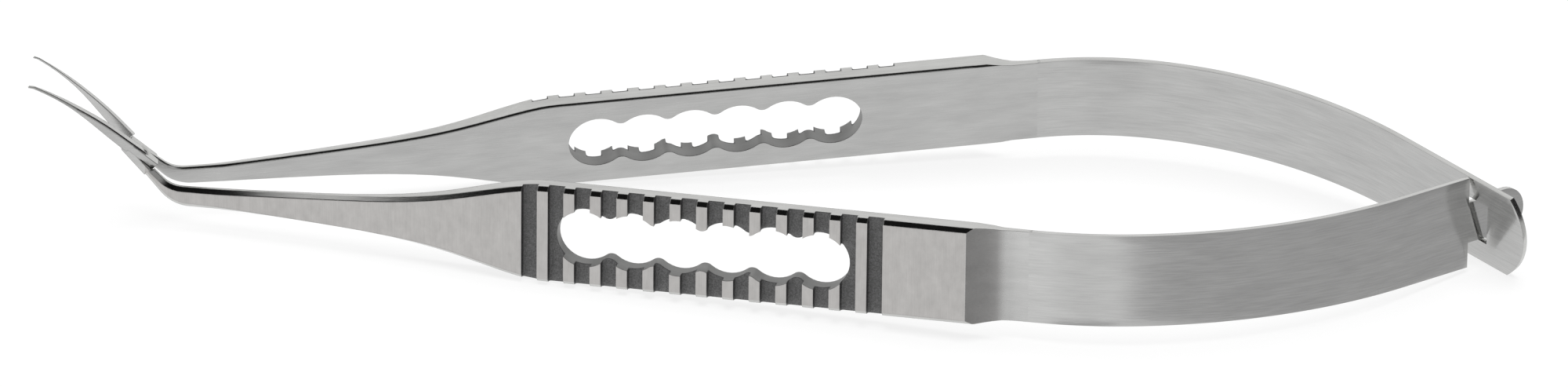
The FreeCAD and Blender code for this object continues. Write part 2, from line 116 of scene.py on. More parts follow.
class Half(Enum):
    """The half of the forceps, with the side of the lap plane that its blade lies on."""

    LEFT = -1
    RIGHT = 1


@dataclass(frozen=True)
class HandlePlace:
    """Where the handle of a half lies at rest, by the turns and lengths of the part's source."""

    half: Half
    # Degrees.
    pivot_tilt: float = 47.0
    half_opening: float = 11.2
    handle_splay: float = 3.06
    # Millimetres.
    pivot_rise: float = 2.66
    pivot_to_slot: float = 42.46
    mating_gap: float = 0.02
    leg_straight: float = 6.1

    def placed(self, home: Vector) -> Vector:
        """Carry a point of the closed drawing to its place at rest.

        Args:
            home: point in mm of the left half, closed, with the pivot at the origin.

        Returns:
            The point in metres in the frame of the model.
        """
        pivot = next(j for j in frame["record"]["behaviour"]["joints"] if j["name"] == "jaw_pivot")
        tilt = math.radians(self.pivot_tilt)
        lap = self.half.value
        point = Vector((home.x, -lap * home.y, home.z))
        axis = Vector((math.sin(tilt), 0, math.cos(tilt)))
        point = Matrix.Rotation(math.radians(lap * self.half_opening), 3, axis) @ point
        pitch = math.atan2(abs(pivot["axis"][0]), abs(pivot["axis"][2])) - tilt
        return Matrix.Rotation(pitch, 3, "Y") @ point * MM + Vector(pivot["pos_m"])

    def home(self, along: float, outward: float, height: float) -> Vector:
        """Find a point of the handle in the closed drawing.

        Args:
            along: mm from the middle of the slot, towards the rear.
            outward: mm from the inner face.
            height: mm above the line of the handle.

        Returns:
            The point in mm of the left half, closed, with the pivot at the origin.
        """
        splay = math.radians(self.handle_splay)
        slot_y = -self.mating_gap - (self.pivot_to_slot - self.leg_straight) * math.tan(splay)
        x = self.pivot_to_slot + along * math.cos(splay) - outward * math.sin(splay)
        y = slot_y - along * math.sin(splay) - outward * math.cos(splay)
        return Vector((x, y, -self.pivot_rise + height))

    def point(self, along: float, outward: float, height: float) -> Vector:
        """Find a point of the handle at rest, in metres, from the same three lengths."""
        return self.placed(self.home(along, outward, height))

    def directions(self) -> tuple[Vector, Vector, Vector]:
        """Find the handle's own directions at rest.

        Returns:
            The unit directions along it, outward and up.
        """
        origin = self.point(0, 0, 0)
        steps = ((1, 0, 0), (0, 1, 0), (0, 0, 1))
        return tuple((self.point(*step) - origin).normalized() for step in steps)


@dataclass(frozen=True)
class HandleCoordinates:
    """Sockets that give a surface point's place on a handle in mm, and its facing."""

    along: bpy.types.NodeSocket
    outward: bpy.types.NodeSocket
    height: bpy.types.NodeSocket
    facing_out: bpy.types.NodeSocket

    @classmethod
    def build(cls, tree: bpy.types.NodeTree, place: HandlePlace) -> "HandleCoordinates":
        """Measure the Object coordinates along the handle's own directions.

        Args:
            tree: the material's node tree.
            place: the handle that the material belongs to.

        Returns:
            The sockets.
        """
        source = add_node(tree, "ShaderNodeTexCoord")
        offset = add_node(tree, "ShaderNodeVectorMath", {"operation": "SUBTRACT"},
                          {0: source.outputs["Object"], 1: place.point(0, 0, 0)})
        directions = place.directions()
        sockets = []
        for direction in directions:
            dot = add_node(tree, "ShaderNodeVectorMath", {"operation": "DOT_PRODUCT"},
                           {0: offset.outputs[0], 1: direction / MM})
            sockets.append(dot.outputs["Value"])
        facing = add_node(tree, "ShaderNodeVectorMath", {"operation": "DOT_PRODUCT"},
                          {0: source.outputs["Normal"], 1: directions[1]})
        return cls(*sockets, facing.outputs["Value"])


def inside(tree: bpy.types.NodeTree, value: bpy.types.NodeSocket, low: float, high: float,
           soft: float) -> bpy.types.NodeSocket:
    """Make a mask that is 1 where a value lies between two limits.

    Args:
        tree: the node tree.
        value: the socket to test.
        low: lower limit.
        high: upper limit.
        soft: width over which the mask fades at each limit.

    Returns:
        The socket of the mask.
    """
    rise = add_node(tree, "ShaderNodeMapRange", {"interpolation_type": "SMOOTHSTEP"},
                    {"Value": value, "From Min": low - soft / 2, "From Max": low + soft / 2})
    fall = add_node(tree, "ShaderNodeMapRange", {"interpolation_type": "SMOOTHSTEP"},
                    {"Value": value, "From Min": high - soft / 2, "From Max": high + soft / 2,
                     "To Min": 1.0, "To Max": 0.0})
    both = add_node(tree, "ShaderNodeMath", {"operation": "MULTIPLY"},
                    {0: rise.outputs[0], 1: fall.outputs[0]})
    return both.outputs[0]


def all_of(tree: bpy.types.NodeTree, *masks: bpy.types.NodeSocket) -> bpy.types.NodeSocket:
    """Multiply masks, so that the result is 1 only where all of them are.

    Args:
        tree: the node tree.
        masks: the sockets to multiply.

    Returns:
        The socket of the product.
    """
    result = masks[0]
    for mask in masks[1:]:
        result = add_node(tree, "ShaderNodeMath", {"operation": "MULTIPLY"},
                          {0: result, 1: mask}).outputs[0]
    return result


def streaks(tree: bpy.types.NodeTree, parts: tuple[bpy.types.NodeSocket, ...],
            spacing: tuple[float, float, float], detail: float = 3.0) -> bpy.types.NodeSocket:
    """Make noise of a given grain size in mm along each of three coordinates.

    Args:
        tree: the node tree.
        parts: three sockets that measure mm.
        spacing: grain size in mm along each of them.
        detail: finer layers of the noise.

    Returns:
        The socket of the noise, from 0 to 1 around 0.5.
    """
    place = add_node(tree, "ShaderNodeCombineXYZ", inputs=dict(enumerate(parts)))
    scaled = add_node(tree, "ShaderNodeVectorMath", {"operation": "DIVIDE"},
                      {0: place.outputs[0], 1: spacing})
    noise = add_node(tree, "ShaderNodeTexNoise", inputs={
        "Vector": scaled.outputs[0], "Scale": 1.0, "Detail": detail, "Roughness": 0.6})
    return noise.outputs["Fac"]


def across_lines(tree: bpy.types.NodeTree, way: bpy.types.NodeSocket) -> bpy.types.NodeSocket:
    """Find the direction square to the brushing lines, in which they spread reflections.

    Args:
        tree: the node tree.
        way: direction of the lines, in the space of the object.

    Returns:
        The socket of the direction in world space.
    """
    turned = add_node(tree, "ShaderNodeVectorTransform", {
        "vector_type": "VECTOR", "convert_from": "OBJECT", "convert_to": "WORLD"}, {0: way})
    surface = add_node(tree, "ShaderNodeNewGeometry")
    cross = add_node(tree, "ShaderNodeVectorMath", {"operation": "CROSS_PRODUCT"},
                     {0: surface.outputs["Normal"], 1: turned.outputs[0]})
    return cross.outputs[0]


@dataclass(frozen=True)
class SurfaceTone:
    """Colour and roughness of one kind of surface on the steel."""

    colour: str
    roughness: float


@dataclass(frozen=True)
class SatinArmSteel:
    """Satin stainless steel: milled, brushed by hand and passivated.

    The eye sees a light warm grey block brushed across its lands, long fine lines on the inner
    faces, and dull dark channels and slot walls that were bead-blasted and never brushed.
    """

    lands: SurfaceTone = SurfaceTone("#C2C0BE", 0.32)
    leaf_part: SurfaceTone = SurfaceTone("#CBCBCA", 0.25)
    # The shoulder's arc gets a darker tone by its facing alone: a painted dark reflection.
    shoulder_arc_painted_dark: SurfaceTone = SurfaceTone("#A9A8A7", 0.30)
    edges: SurfaceTone = SurfaceTone("#D4D4D2", 0.17)
    slot_walls: SurfaceTone = SurfaceTone("#A2A2A1", 0.50)
    channels: SurfaceTone = SurfaceTone("#848484", 0.60)
    # Real brushing lines are about 0.02 mm apart. They are drawn at 0.09 mm, as fine as shows.
    line_spacing: float = 0.09
    line_length: float = 2.0
    line_depth: float = 0.012
    line_strength: float = 0.35
    line_spread: float = 0.75
    # How much the lines, the grit and the uneven hand brushing change the colour.
    line_tones: tuple[float, float] = (0.93, 1.06)
    grit_tones: tuple[float, float] = (0.6, 1.4)
    cloud_depth: float = 0.34
    # How much the lines change the roughness.
    dulling: float = 0.14
    # Blasting grit of 0.1 mm, and the hand brushing's clouds and bands, along, out and up.
    grit: float = 0.10
    cloud_size: tuple[float, float, float] = (0.6, 0.6, 1.0)
    band_size: tuple[float, float, float] = (5.0, 1.2, 1.2)
    # Radii of the edges.
    broken_edge: float = 0.05
    rolled_edge: float = 0.13
    edge_samples: int = 8
    # Places on the handle in mm, with the slot's middle as 0.
    groove_pitch: float = 1.98
    groove_count: int = 14
    groove_half_width: float = 0.58
    groove_floor: float = 1.04
    block_thickness: float = 1.61
    shoulder: float = 19.6
    pivot: float = -42.0
    far: float = 99.0
    slot_half_length: float = 11.1
    slot_half_height: float = 2.3
    # How far in mm the tone of the channels reaches past their walls, their row and their floor,
    # and how far below the lands it ends.
    wall_slack: float = 0.02
    row_slack: float = 0.1
    floor_slack: float = 0.08
    lip: float = 0.03
    # How far in mm the crisp edges reach past the row of channels, and before the shoulder.
    grip_slack: float = 0.3
    shoulder_slack: float = 0.4
    # Cosines of the facing out. Flat faces lie above the first, and the chamfers, which aren't
    # brushed, below it; the shoulder's arc lies between the next two, and the slot's walls below
    # the third. No face reaches the last.
    flat_facing: float = 0.79
    arc_facing: tuple[float, float] = (0.5, 0.975)
    wall_facing: float = 0.6
    any_facing: float = 2.0
    # Widths over which the masks fade: in mm, then in cosines of the facing.
    sharp_fade: float = 0.02
    lip_fade: float = 0.03
    part_fade: float = 0.1
    grip_fade: float = 0.2
    shoulder_fade: float = 0.4
    arc_fade: float = 0.03
    flat_fade: float = 0.06
    wall_fade: float = 0.2

    def build(self, place: HandlePlace) -> bpy.types.Material:
        """Make the finish for one arm.

        Args:
            place: the handle that the surfaces are measured on.

        Returns:
            The material.
        """
        material, tree = new_finish("satin_brushed_stainless_" + place.half.name.lower())
        spot = HandleCoordinates.build(tree, place)
        parts = (spot.along, spot.outward, spot.height)
        masks = self.masks(tree, spot)
        across = streaks(tree, parts, (self.line_spacing, self.line_spacing, self.line_length))
        lengthwise = streaks(tree, parts, (self.line_length, self.line_spacing, self.line_spacing))
        grain = streaks(tree, parts, (self.grit,) * 3)
        mottled = streaks(tree, parts, self.cloud_size, detail=4.0)
        banded = streaks(tree, parts, self.band_size, detail=2.0)
        clouds = add_node(tree, "ShaderNodeMix", {"data_type": "FLOAT"},
                          {0: masks["lands"], 2: banded, 3: mottled}).outputs[0]
        brushed = add_node(tree, "ShaderNodeMix", {"data_type": "FLOAT"},
                           {0: masks["lands"], 2: lengthwise, 3: across})
        spread = add_node(tree, "ShaderNodeMath", {"operation": "MULTIPLY"},
                          {0: masks["brushed"], 1: self.line_spread})
        texture = add_node(tree, "ShaderNodeMix", {"data_type": "FLOAT"},
                           {0: masks["channels"], 2: brushed.outputs[0], 3: grain})
        colour, roughness = self.tones(tree, masks)
        uneven = add_node(tree, "ShaderNodeMath", {"operation": "MULTIPLY_ADD"},
                          {0: clouds, 1: self.cloud_depth, 2: 1 - self.cloud_depth / 2})
        lined = add_node(tree, "ShaderNodeMapRange", inputs={
            "Value": texture.outputs[0], "From Min": LINE_SPAN[0], "From Max": LINE_SPAN[1],
            "To Min": self.line_tones[0], "To Max": self.line_tones[1]})
        gritty = add_node(tree, "ShaderNodeMapRange", inputs={
            "Value": grain, "From Min": GRIT_SPAN[0], "From Max": GRIT_SPAN[1],
            "To Min": self.grit_tones[0], "To Max": self.grit_tones[1]})
        marked = add_node(tree, "ShaderNodeMix", {"data_type": "FLOAT"},
                          {0: masks["channels"], 2: lined.outputs[0], 3: gritty.outputs[0]})
        shade = all_of(tree, uneven.outputs[0], marked.outputs[0])
        tinted = add_node(tree, "ShaderNodeVectorMath", {"operation": "SCALE"},
                          {0: colour, "Scale": shade})
        dull = add_node(tree, "ShaderNodeMath", {"operation": "MULTIPLY_ADD"},
                        {0: texture.outputs[0], 1: self.dulling, 2: roughness})
        # The brushing rolled the long edges of the shaft over, and only broke the others.
        rolled = add_node(tree, "ShaderNodeMapRange", inputs={
            "Value": masks["crisp"], "To Min": self.rolled_edge * MM,
            "To Max": self.broken_edge * MM})
        eased = add_node(tree, "ShaderNodeBevel", {"samples": self.edge_samples},
                         {"Radius": rolled.outputs[0]})
        bump = add_node(tree, "ShaderNodeBump", inputs={
            "Height": texture.outputs[0], "Strength": self.line_strength,
            "Distance": self.line_depth * MM, "Normal": eased.outputs[0]})
        along, _, up = place.directions()
        way = add_node(tree, "ShaderNodeMix", {"data_type": "VECTOR"},
                       {0: masks["lands"], 4: along, 5: up})
        shader = add_node(tree, "ShaderNodeBsdfPrincipled", inputs={
            "Base Color": tinted.outputs[0], "Metallic": 1.0, "Roughness": dull.outputs[0],
            "Normal": bump.outputs[0], "Anisotropic": spread.outputs[0],
            "Tangent": across_lines(tree, way.outputs[1])})
        add_node(tree, "ShaderNodeOutputMaterial", inputs={"Surface": shader.outputs[0]})
        return material

    def masks(self, tree: bpy.types.NodeTree,
              spot: HandleCoordinates) -> dict[str, bpy.types.NodeSocket]:
        """Tell the kinds of surface apart by place and facing.

        Args:
            tree: the node tree.
            spot: place on the handle.

        Returns:
            Sockets by the names of the tones, and those of the brushed faces and crisp edges.
        """
        # How far each point is from the middle of the nearest groove.
        period = self.groove_pitch
        first = -period * (self.groove_count - 1) / 2
        phase = add_node(tree, "ShaderNodeMath", {"operation": "SUBTRACT"},
                         {0: spot.along, 1: first - period / 2})
        turn = add_node(tree, "ShaderNodeMath", {"operation": "WRAP"},
                        {0: phase.outputs[0], 1: period / 2, 2: -period / 2})
        centred = add_node(tree, "ShaderNodeMath", {"operation": "ABSOLUTE"},
                           {0: turn.outputs[0]})
        away = add_node(tree, "ShaderNodeMath", {"operation": "SUBTRACT"},
                        {0: period / 2, 1: centred.outputs[0]})
        end = -first + self.groove_half_width
        channels = all_of(
            tree,
            inside(tree, away.outputs[0], -period, self.groove_half_width + self.wall_slack,
                   self.sharp_fade),
            inside(tree, spot.along, -end - self.row_slack, end + self.row_slack,
                   self.sharp_fade),
            inside(tree, spot.outward, self.groove_floor - self.floor_slack,
                   self.block_thickness - self.lip, self.lip_fade))
        length, height = self.slot_half_length, self.slot_half_height
        slot_walls = all_of(
            tree, inside(tree, spot.along, -length, length, self.sharp_fade),
            inside(tree, spot.height, -height, height, self.sharp_fade),
            inside(tree, spot.facing_out, -self.wall_facing, self.wall_facing, self.wall_fade))
        outer = inside(tree, spot.facing_out, self.flat_facing, self.any_facing, self.flat_fade)
        inner = inside(tree, spot.facing_out, -self.any_facing, -self.flat_facing, self.flat_fade)
        rear, front, tip = (
            all_of(tree, outer, inside(tree, spot.along, low, high, self.part_fade))
            for low, high in ((self.shoulder, self.far), (self.pivot, self.shoulder),
                              (-self.far, self.pivot)))
        # Outer faces on the shoulder's arc that turn away from straight out are painted darker: a
        # painted dark reflection.
        arc = all_of(tree, rear, inside(tree, spot.facing_out, *self.arc_facing, self.arc_fade))
        leaf_part = inner
        for face in (rear, tip):
            leaf_part = add_node(tree, "ShaderNodeMath", {"operation": "MAXIMUM"},
                                 {0: leaf_part, 1: face}).outputs[0]
        brushed = add_node(tree, "ShaderNodeMath", {"operation": "MAXIMUM"},
                           {0: leaf_part, 1: front})
        reach = end + self.grip_slack
        grip = all_of(tree, inside(tree, spot.along, -reach, reach, self.grip_fade),
                      brushed.outputs[0])
        behind = inside(tree, spot.along, self.shoulder - self.shoulder_slack, self.far,
                        self.shoulder_fade)
        crisp = add_node(tree, "ShaderNodeMath", {"operation": "MAXIMUM"}, {0: grip, 1: behind})
        return {
            "lands": front,
            "leaf_part": leaf_part,
            "shoulder_arc_painted_dark": arc,
            "slot_walls": slot_walls,
            "channels": channels,
            "brushed": brushed.outputs[0],
            "crisp": crisp.outputs[0],
        }

    def tones(self, tree: bpy.types.NodeTree, masks: dict[str, bpy.types.NodeSocket]
              ) -> tuple[bpy.types.NodeSocket, bpy.types.NodeSocket]:
        """Lay the tone of each kind of surface over that of the edges.

        Args:
            tree: the node tree.
            masks: the sockets of the kinds of surface.

        Returns:
            The sockets of the colour, and of the roughness that the lines add to.
        """
        start = add_node(tree, "ShaderNodeRGB")
        start.outputs[0].default_value = linear(self.edges.colour)
        colour = start.outputs[0]
        value = add_node(tree, "ShaderNodeValue")
        value.outputs[0].default_value = self.edges.roughness - self.dulling / 2
        roughness = value.outputs[0]
        for name in ("lands", "leaf_part", "shoulder_arc_painted_dark", "slot_walls", "channels"):
            tone = getattr(self, name)
            colour = add_node(tree, "ShaderNodeMix", {"data_type": "RGBA"},
                              {0: masks[name], 6: colour, 7: linear(tone.colour)}).outputs[2]
            roughness = add_node(
                tree, "ShaderNodeMix", {"data_type": "FLOAT"},
                {0: masks[name], 2: roughness, 3: tone.roughness - self.dulling / 2}).outputs[0]
        return colour, roughness


@dataclass(frozen=True)
class BrushedSpringSteel:
    """Cold-rolled spring steel, brushed lengthwise before it was bent.

    The eye sees long even lines along the leaf on a mid grey, and rims painted lighter as a
    painted highlight.
    """

    colour: str = "#CBCBCA"
    # The lighter colour of the rims is a painted highlight.
    rim_painted_highlight: str = "#DEDEDC"
    roughness: float = 0.18
    # Real lines are about 0.02 mm apart. They are drawn at 0.09 mm, as fine as shows.
    line_spacing: float = 0.09
    line_length: float = 2.0
    line_depth: float = 0.010
    line_strength: float = 0.3
    line_spread: float = 0.9
    # How much the lines and the uneven brushing change the colour, and the lines the roughness.
    line_tones: tuple[float, float] = (0.90, 1.08)
    band_depth: float = 0.26
    dulling: float = 0.14
    # Bands of the brushing in mm along the leaf, over its height and through it.
    band_size: tuple[float, float, float] = (5.0, 1.2, 1.2)
    # Between the two faces lies the rim, which takes this share of the thickness.
    half_thickness: float = 0.21
    rim_share: float = 0.8
    rim_fade: float = 0.04

    def build(self) -> bpy.types.Material:
        """Make the finish, drawn along the leaf by its stored place.

        Returns:
            The material.
        """
        material, tree = new_finish("brushed_spring_stainless")
        place = add_node(tree, "ShaderNodeAttribute", {"attribute_name": LeafSpring.PLACE})
        parts = add_node(tree, "ShaderNodeSeparateXYZ", inputs={0: place.outputs["Vector"]})
        lines = streaks(tree, tuple(parts.outputs),
                        (self.line_length, self.line_spacing, self.line_spacing))
        banded = streaks(tree, tuple(parts.outputs), self.band_size, detail=2.0)
        edge = self.half_thickness * self.rim_share
        rim = inside(tree, parts.outputs[2], -edge, edge, self.rim_fade)
        # The rims are painted lighter here: a painted highlight.
        colour = add_node(tree, "ShaderNodeMix", {"data_type": "RGBA"},
                          {0: rim, 6: linear(self.colour), 7: linear(self.rim_painted_highlight)})
        lined = add_node(tree, "ShaderNodeMapRange", inputs={
            "Value": lines, "From Min": LINE_SPAN[0], "From Max": LINE_SPAN[1],
            "To Min": self.line_tones[0], "To Max": self.line_tones[1]})
        uneven = add_node(tree, "ShaderNodeMath", {"operation": "MULTIPLY_ADD"},
                          {0: banded, 1: self.band_depth, 2: 1 - self.band_depth / 2})
        shade = all_of(tree, uneven.outputs[0], lined.outputs[0])
        tinted = add_node(tree, "ShaderNodeVectorMath", {"operation": "SCALE"},
                          {0: colour.outputs[2], "Scale": shade})
        dull = add_node(tree, "ShaderNodeMath", {"operation": "MULTIPLY_ADD"},
                        {0: lines, 1: self.dulling, 2: self.roughness - self.dulling / 2})
        bump = add_node(tree, "ShaderNodeBump", inputs={
            "Height": lines, "Strength": self.line_strength, "Distance": self.line_depth * MM})
        way = add_node(tree, "ShaderNodeAttribute", {"attribute_name": LeafSpring.WAY})
        shader = add_node(tree, "ShaderNodeBsdfPrincipled", inputs={
            "Base Color": tinted.outputs[0], "Metallic": 1.0, "Roughness": dull.outputs[0],
            "Normal": bump.outputs[0], "Anisotropic": self.line_spread,
            "Tangent": across_lines(tree, way.outputs["Vector"])})
        add_node(tree, "ShaderNodeOutputMaterial", inputs={"Surface": shader.outputs[0]})
        return material


@dataclass(frozen=True)
class PolishedRivetSteel:
    """Stainless rivet, headed and then buffed, so its domes are a little brighter and smoother."""

    colour: str = "#C6C6C4"
    roughness: float = 0.22
    # The buffing leaves a fine grain of about 0.12 mm, which only changes the roughness.
    grain: float = 0.12
    dulling: float = 0.12

    def build(self) -> bpy.types.Material:
        """Make the finish.

        Returns:
            The material.
        """
        material, tree = new_finish("buffed_stainless_rivet")
        source = add_node(tree, "ShaderNodeTexCoord")
        noise = add_node(tree, "ShaderNodeTexNoise", inputs={
            "Vector": source.outputs["Object"], "Scale": 1 / (self.grain * MM), "Detail": 3.0})
        dull = add_node(tree, "ShaderNodeMath", {"operation": "MULTIPLY_ADD"},
                        {0: noise.outputs["Fac"], 1: self.dulling,
                         2: self.roughness - self.dulling / 2})
        shader = add_node(tree, "ShaderNodeBsdfPrincipled", inputs={
            "Base Color": linear(self.colour), "Metallic": 1.0, "Roughness": dull.outputs[0]})
        add_node(tree, "ShaderNodeOutputMaterial", inputs={"Surface": shader.outputs[0]})
        return material


@dataclass
class LeafSpring:
    """Leaf spring of one half, bent inward in two arcs, with its tongue or its window.

    Sizes are mm, and sweeps are degrees, as in the part's source. The leaf is drawn flat, along
    X from its root and with its height along Y, and then bent.
    """

    half: Half
    thickness: float = 0.42
    height: float = 7.05
    root: float = 24.0
    first_radius: float = 26.7
    first_sweep: float = 17.2
    second_radius: float = 35.4
    second_sweep: float = 34.0
    straight: float = 7.0
    shoulder_gap: float = 0.8
    neck_length: float = 1.0
    neck_ramp: float = 0.1
    tongue_neck: float = 3.15
    tongue_head: float = 3.6
    tongue_length: float = 4.5
    window_height: float = 3.5
    window_front: float = 1.4
    window_rear: float = 1.35
    plate_side: float = 3.4
    plate_bulge: float = 1.4
    rim_round: float = 0.06
    rim_angle: float = 40.0
    rim_segments: int = 3
    bend_length: float = 22.0
    # Rows of faces over the middle band and over each side band, and columns along the bow and
    # over a round end, which stops short of its last point by the inset.
    middle_rows: int = 6
    side_rows: int = 3
    bow_columns: int = 70
    end_columns: int = 14
    end_inset: float = 0.002
    # The way of the lines at a point is the way to where it would lie this far on.
    look_ahead: float = 0.1
    finish: BrushedSpringSteel = field(default_factory=BrushedSpringSteel)

    PLACE = "leaf_place"
    WAY = "leaf_way"

    def name(self) -> str:
        """Name the piece after its half."""
        return self.half.name.lower() + "_leaf_brushed"

    def crossing(self) -> float:
        """Measure the centre line from the root to the crossing of the leaves.

        Returns:
            The length in mm.
        """
        arcs = math.radians(self.first_sweep) * self.first_radius
        arcs += math.radians(self.second_sweep) * self.second_radius
        return arcs + self.straight

    def centre_line(self, distance: float) -> tuple[Vector, float]:
        """Walk along the centre line, in the plan of the closed left half.

        Args:
            distance: mm from the root.

        Returns:
            The point in mm and the heading in radians.
        """
        place = HandlePlace(self.half)
        point = place.home(self.root, self.thickness / 2, 0)
        heading = -math.radians(place.handle_splay)
        for radius, sweep in ((self.first_radius, self.first_sweep),
                              (self.second_radius, self.second_sweep)):
            step = min(distance, math.radians(sweep) * radius)
            centre = point + Vector((-math.sin(heading), math.cos(heading), 0)) * radius
            heading += step / radius
            point = centre + Vector((math.sin(heading), -math.cos(heading), 0)) * radius
            distance -= step
        return point + Vector((math.cos(heading), math.sin(heading), 0)) * distance, heading

    def place(self, distance: float, height: float, inward: float) -> Vector:
        """Bend a point of the flat leaf to its place at rest.

        Args:
            distance: mm along the leaf from the root.
            height: mm above the middle of the leaf.
            inward: mm from the middle of its thickness, towards the mid-plane.

        Returns:
            The point in metres.
        """
        point, heading = self.centre_line(distance)
        point += Vector((-math.sin(heading), math.cos(heading), 0)) * inward
        point.z += height
        return HandlePlace(self.half).placed(point)

    def tongue_half(self, beyond: float) -> float:
        """Measure half the tongue's height.

        Args:
            beyond: mm beyond the crossing.

        Returns:
            The half height in mm.
        """
        neck, head = self.tongue_neck / 2, self.tongue_head / 2
        if beyond < self.neck_length:
            return neck
        if beyond < self.tongue_length - head:
            return neck + (head - neck) * min(1, (beyond - self.neck_length) / self.neck_ramp)
        return math.sqrt(max(head ** 2 - (beyond - self.tongue_length + head) ** 2, 0))

    def plate_half(self, beyond: float) -> float:
        """Measure half the plate's height.

        Args:
            beyond: mm beyond the crossing.

        Returns:
            The half height in mm.
        """
        half = self.height / 2
        if beyond < self.plate_side:
            return half
        radius = (self.plate_bulge ** 2 + half ** 2) / (2 * self.plate_bulge)
        centre = self.plate_side + self.plate_bulge - radius
        return math.sqrt(max(radius ** 2 - (beyond - centre) ** 2, 0))

    def columns(self) -> list[tuple[list[float], bool, bool]]:
        """Divide the leaf into stretches.

        Returns:
            For each stretch its stations beyond the crossing, whether it has its middle band,
            and whether it has its upper and lower bands.
        """
        start = -self.crossing()
        # Each stretch has its two ends, its number of columns (0 for a round end) and its bands.
        if self.half is Half.LEFT:
            wide = self.neck_length + self.neck_ramp
            head = self.tongue_length - self.tongue_head / 2
            stops = [(start, -self.shoulder_gap, self.bow_columns, True, True),
                     (-self.shoulder_gap, self.neck_length, 6, True, False),
                     (self.neck_length, wide, 1, True, False),
                     (wide, head, 5, True, False),
                     (head, self.tongue_length, 0, True, False)]
        else:
            stops = [(start, -self.window_front, self.bow_columns, True, True),
                     (-self.window_front, self.window_rear, 8, False, True),
                     (self.window_rear, self.plate_side, 6, True, True),
                     (self.plate_side, self.plate_side + self.plate_bulge, 0, True, True)]
        stretches = []
        for low, high, count, middle, sides in stops:
            if count:
                stations = [low + (high - low) * i / count for i in range(count + 1)]
            else:
                # Closer towards the end, where the outline is round.
                turn = math.pi / 2 / self.end_columns
                stations = [low + (high - low) * math.sin(turn * i)
                            for i in range(self.end_columns + 1)]
                stations[-1] -= self.end_inset
            stretches.append((stations, middle, sides))
        return stretches

    def halves(self, beyond: float) -> tuple[float, float]:
        """Measure half the heights of the middle band and of the whole leaf.

        Args:
            beyond: mm beyond the crossing.

        Returns:
            The two half heights in mm.
        """
        if self.half is Half.LEFT:
            return self.tongue_half(beyond), self.height / 2
        outer = self.plate_half(beyond)
        return self.window_height / 2 * outer / (self.height / 2), outer

    def flat_faces(self) -> tuple[list[tuple[float, float]], list[tuple[int, ...]]]:
        """Lay the leaf out flat as a sheet of quads.

        Returns:
            The points, as distance and height in mm, and the faces.
        """
        index: dict[tuple[float, float], int] = {}
        faces = []

        def number(distance: float, height: float) -> int:
            """Number the point at this place, as a new one when it isn't there yet."""
            key = (round(distance, DECIMALS), round(height, DECIMALS))
            return index.setdefault(key, len(index))

        for stations, middle, sides in self.columns():
            ends = [(station + self.crossing(), self.bands(station, middle, sides))
                    for station in stations]
            for (near, near_bands), (far, far_bands) in zip(ends, ends[1:]):
                for near_band, far_band in zip(near_bands, far_bands):
                    for i in range(len(near_band) - 1):
                        face = (number(near, near_band[i]), number(far, far_band[i]),
                                number(far, far_band[i + 1]), number(near, near_band[i + 1]))
                        if len(set(face)) == len(face):
                            faces.append(face)
        return list(index), faces

    def bands(self, beyond: float, middle: bool, sides: bool) -> list[list[float]]:
        """Divide the height of the leaf.

        Args:
            beyond: mm beyond the crossing.
            middle: whether the leaf has its middle band there.
            sides: whether it has its upper and lower bands there.

        Returns:
            For each band the heights of its points in mm.
        """
        inner, outer = self.halves(beyond)
        bands = []
        if middle:
            bands.append([-inner + 2 * inner * i / self.middle_rows
                          for i in range(self.middle_rows + 1)])
        if sides:
            step = (outer - inner) / self.side_rows
            for base in (inner, -outer):
                bands.append([base + step * i for i in range(self.side_rows + 1)])
        return bands

    def mesh(self) -> bpy.types.Mesh:
        """Give the flat sheet its thickness, round its rims and bend it to shape.

        Returns:
            The finished mesh.
        """
        points, faces = self.flat_faces()
        shape = bmesh.new()
        half = self.thickness / 2
        top = [shape.verts.new((x, y, half)) for x, y in points]
        low = [shape.verts.new((x, y, -half)) for x, y in points]
        used: dict[tuple[int, int], int] = {}
        for face in faces:
            shape.faces.new([top[i] for i in face])
            shape.faces.new([low[i] for i in reversed(face)])
            for edge in zip(face, face[1:] + face[:1]):
                key = (min(edge), max(edge))
                used[key] = used.get(key, 0) + 1
        for (first, second), count in used.items():
            if count == 1:
                shape.faces.new([top[first], top[second], low[second], low[first]])
        bmesh.ops.recalc_face_normals(shape, faces=shape.faces)
        # The front end lies flush against the arm and stays sharp.
        rims = [e for e in shape.edges if len(e.link_faces) == 2
                and e.calc_face_angle(0) > math.radians(self.rim_angle)
                and max(v.co.x for v in e.verts) > self.rim_round]
        bmesh.ops.bevel(shape, geom=rims, offset=self.rim_round, segments=self.rim_segments,
                        profile=0.5, affect="EDGES", clamp_overlap=True)
        places = shape.verts.layers.float_vector.new(self.PLACE)
        ways = shape.verts.layers.float_vector.new(self.WAY)
        for vertex in shape.verts:
            distance, height, inward = vertex.co
            vertex[places] = vertex.co.copy()
            vertex.co = self.place(distance, height, inward)
            ahead = self.place(distance + self.look_ahead, height, inward) - vertex.co
            vertex[ways] = ahead.normalized()
        # The bending of one half is also a mirroring, which turns its faces inside out.
        if shape.calc_volume(signed=True) < 0:
            bmesh.ops.reverse_faces(shape, faces=shape.faces)
        for face in shape.faces:
            face.smooth = True
        for edge in shape.edges:
            edge.smooth = any(vertex[places].x > EDGE_MATCH for vertex in edge.verts)
        mesh = bpy.data.meshes.new(self.name())
        shape.to_mesh(mesh)
        shape.free()
        return mesh

    def build(self) -> bpy.types.Object:
        """Make the piece and put it in the place of its CAD node.

        Returns:
            The piece.
        """
        leaf = bpy.data.objects.new(self.name(), self.mesh())
        bpy.context.scene.collection.objects.link(leaf)
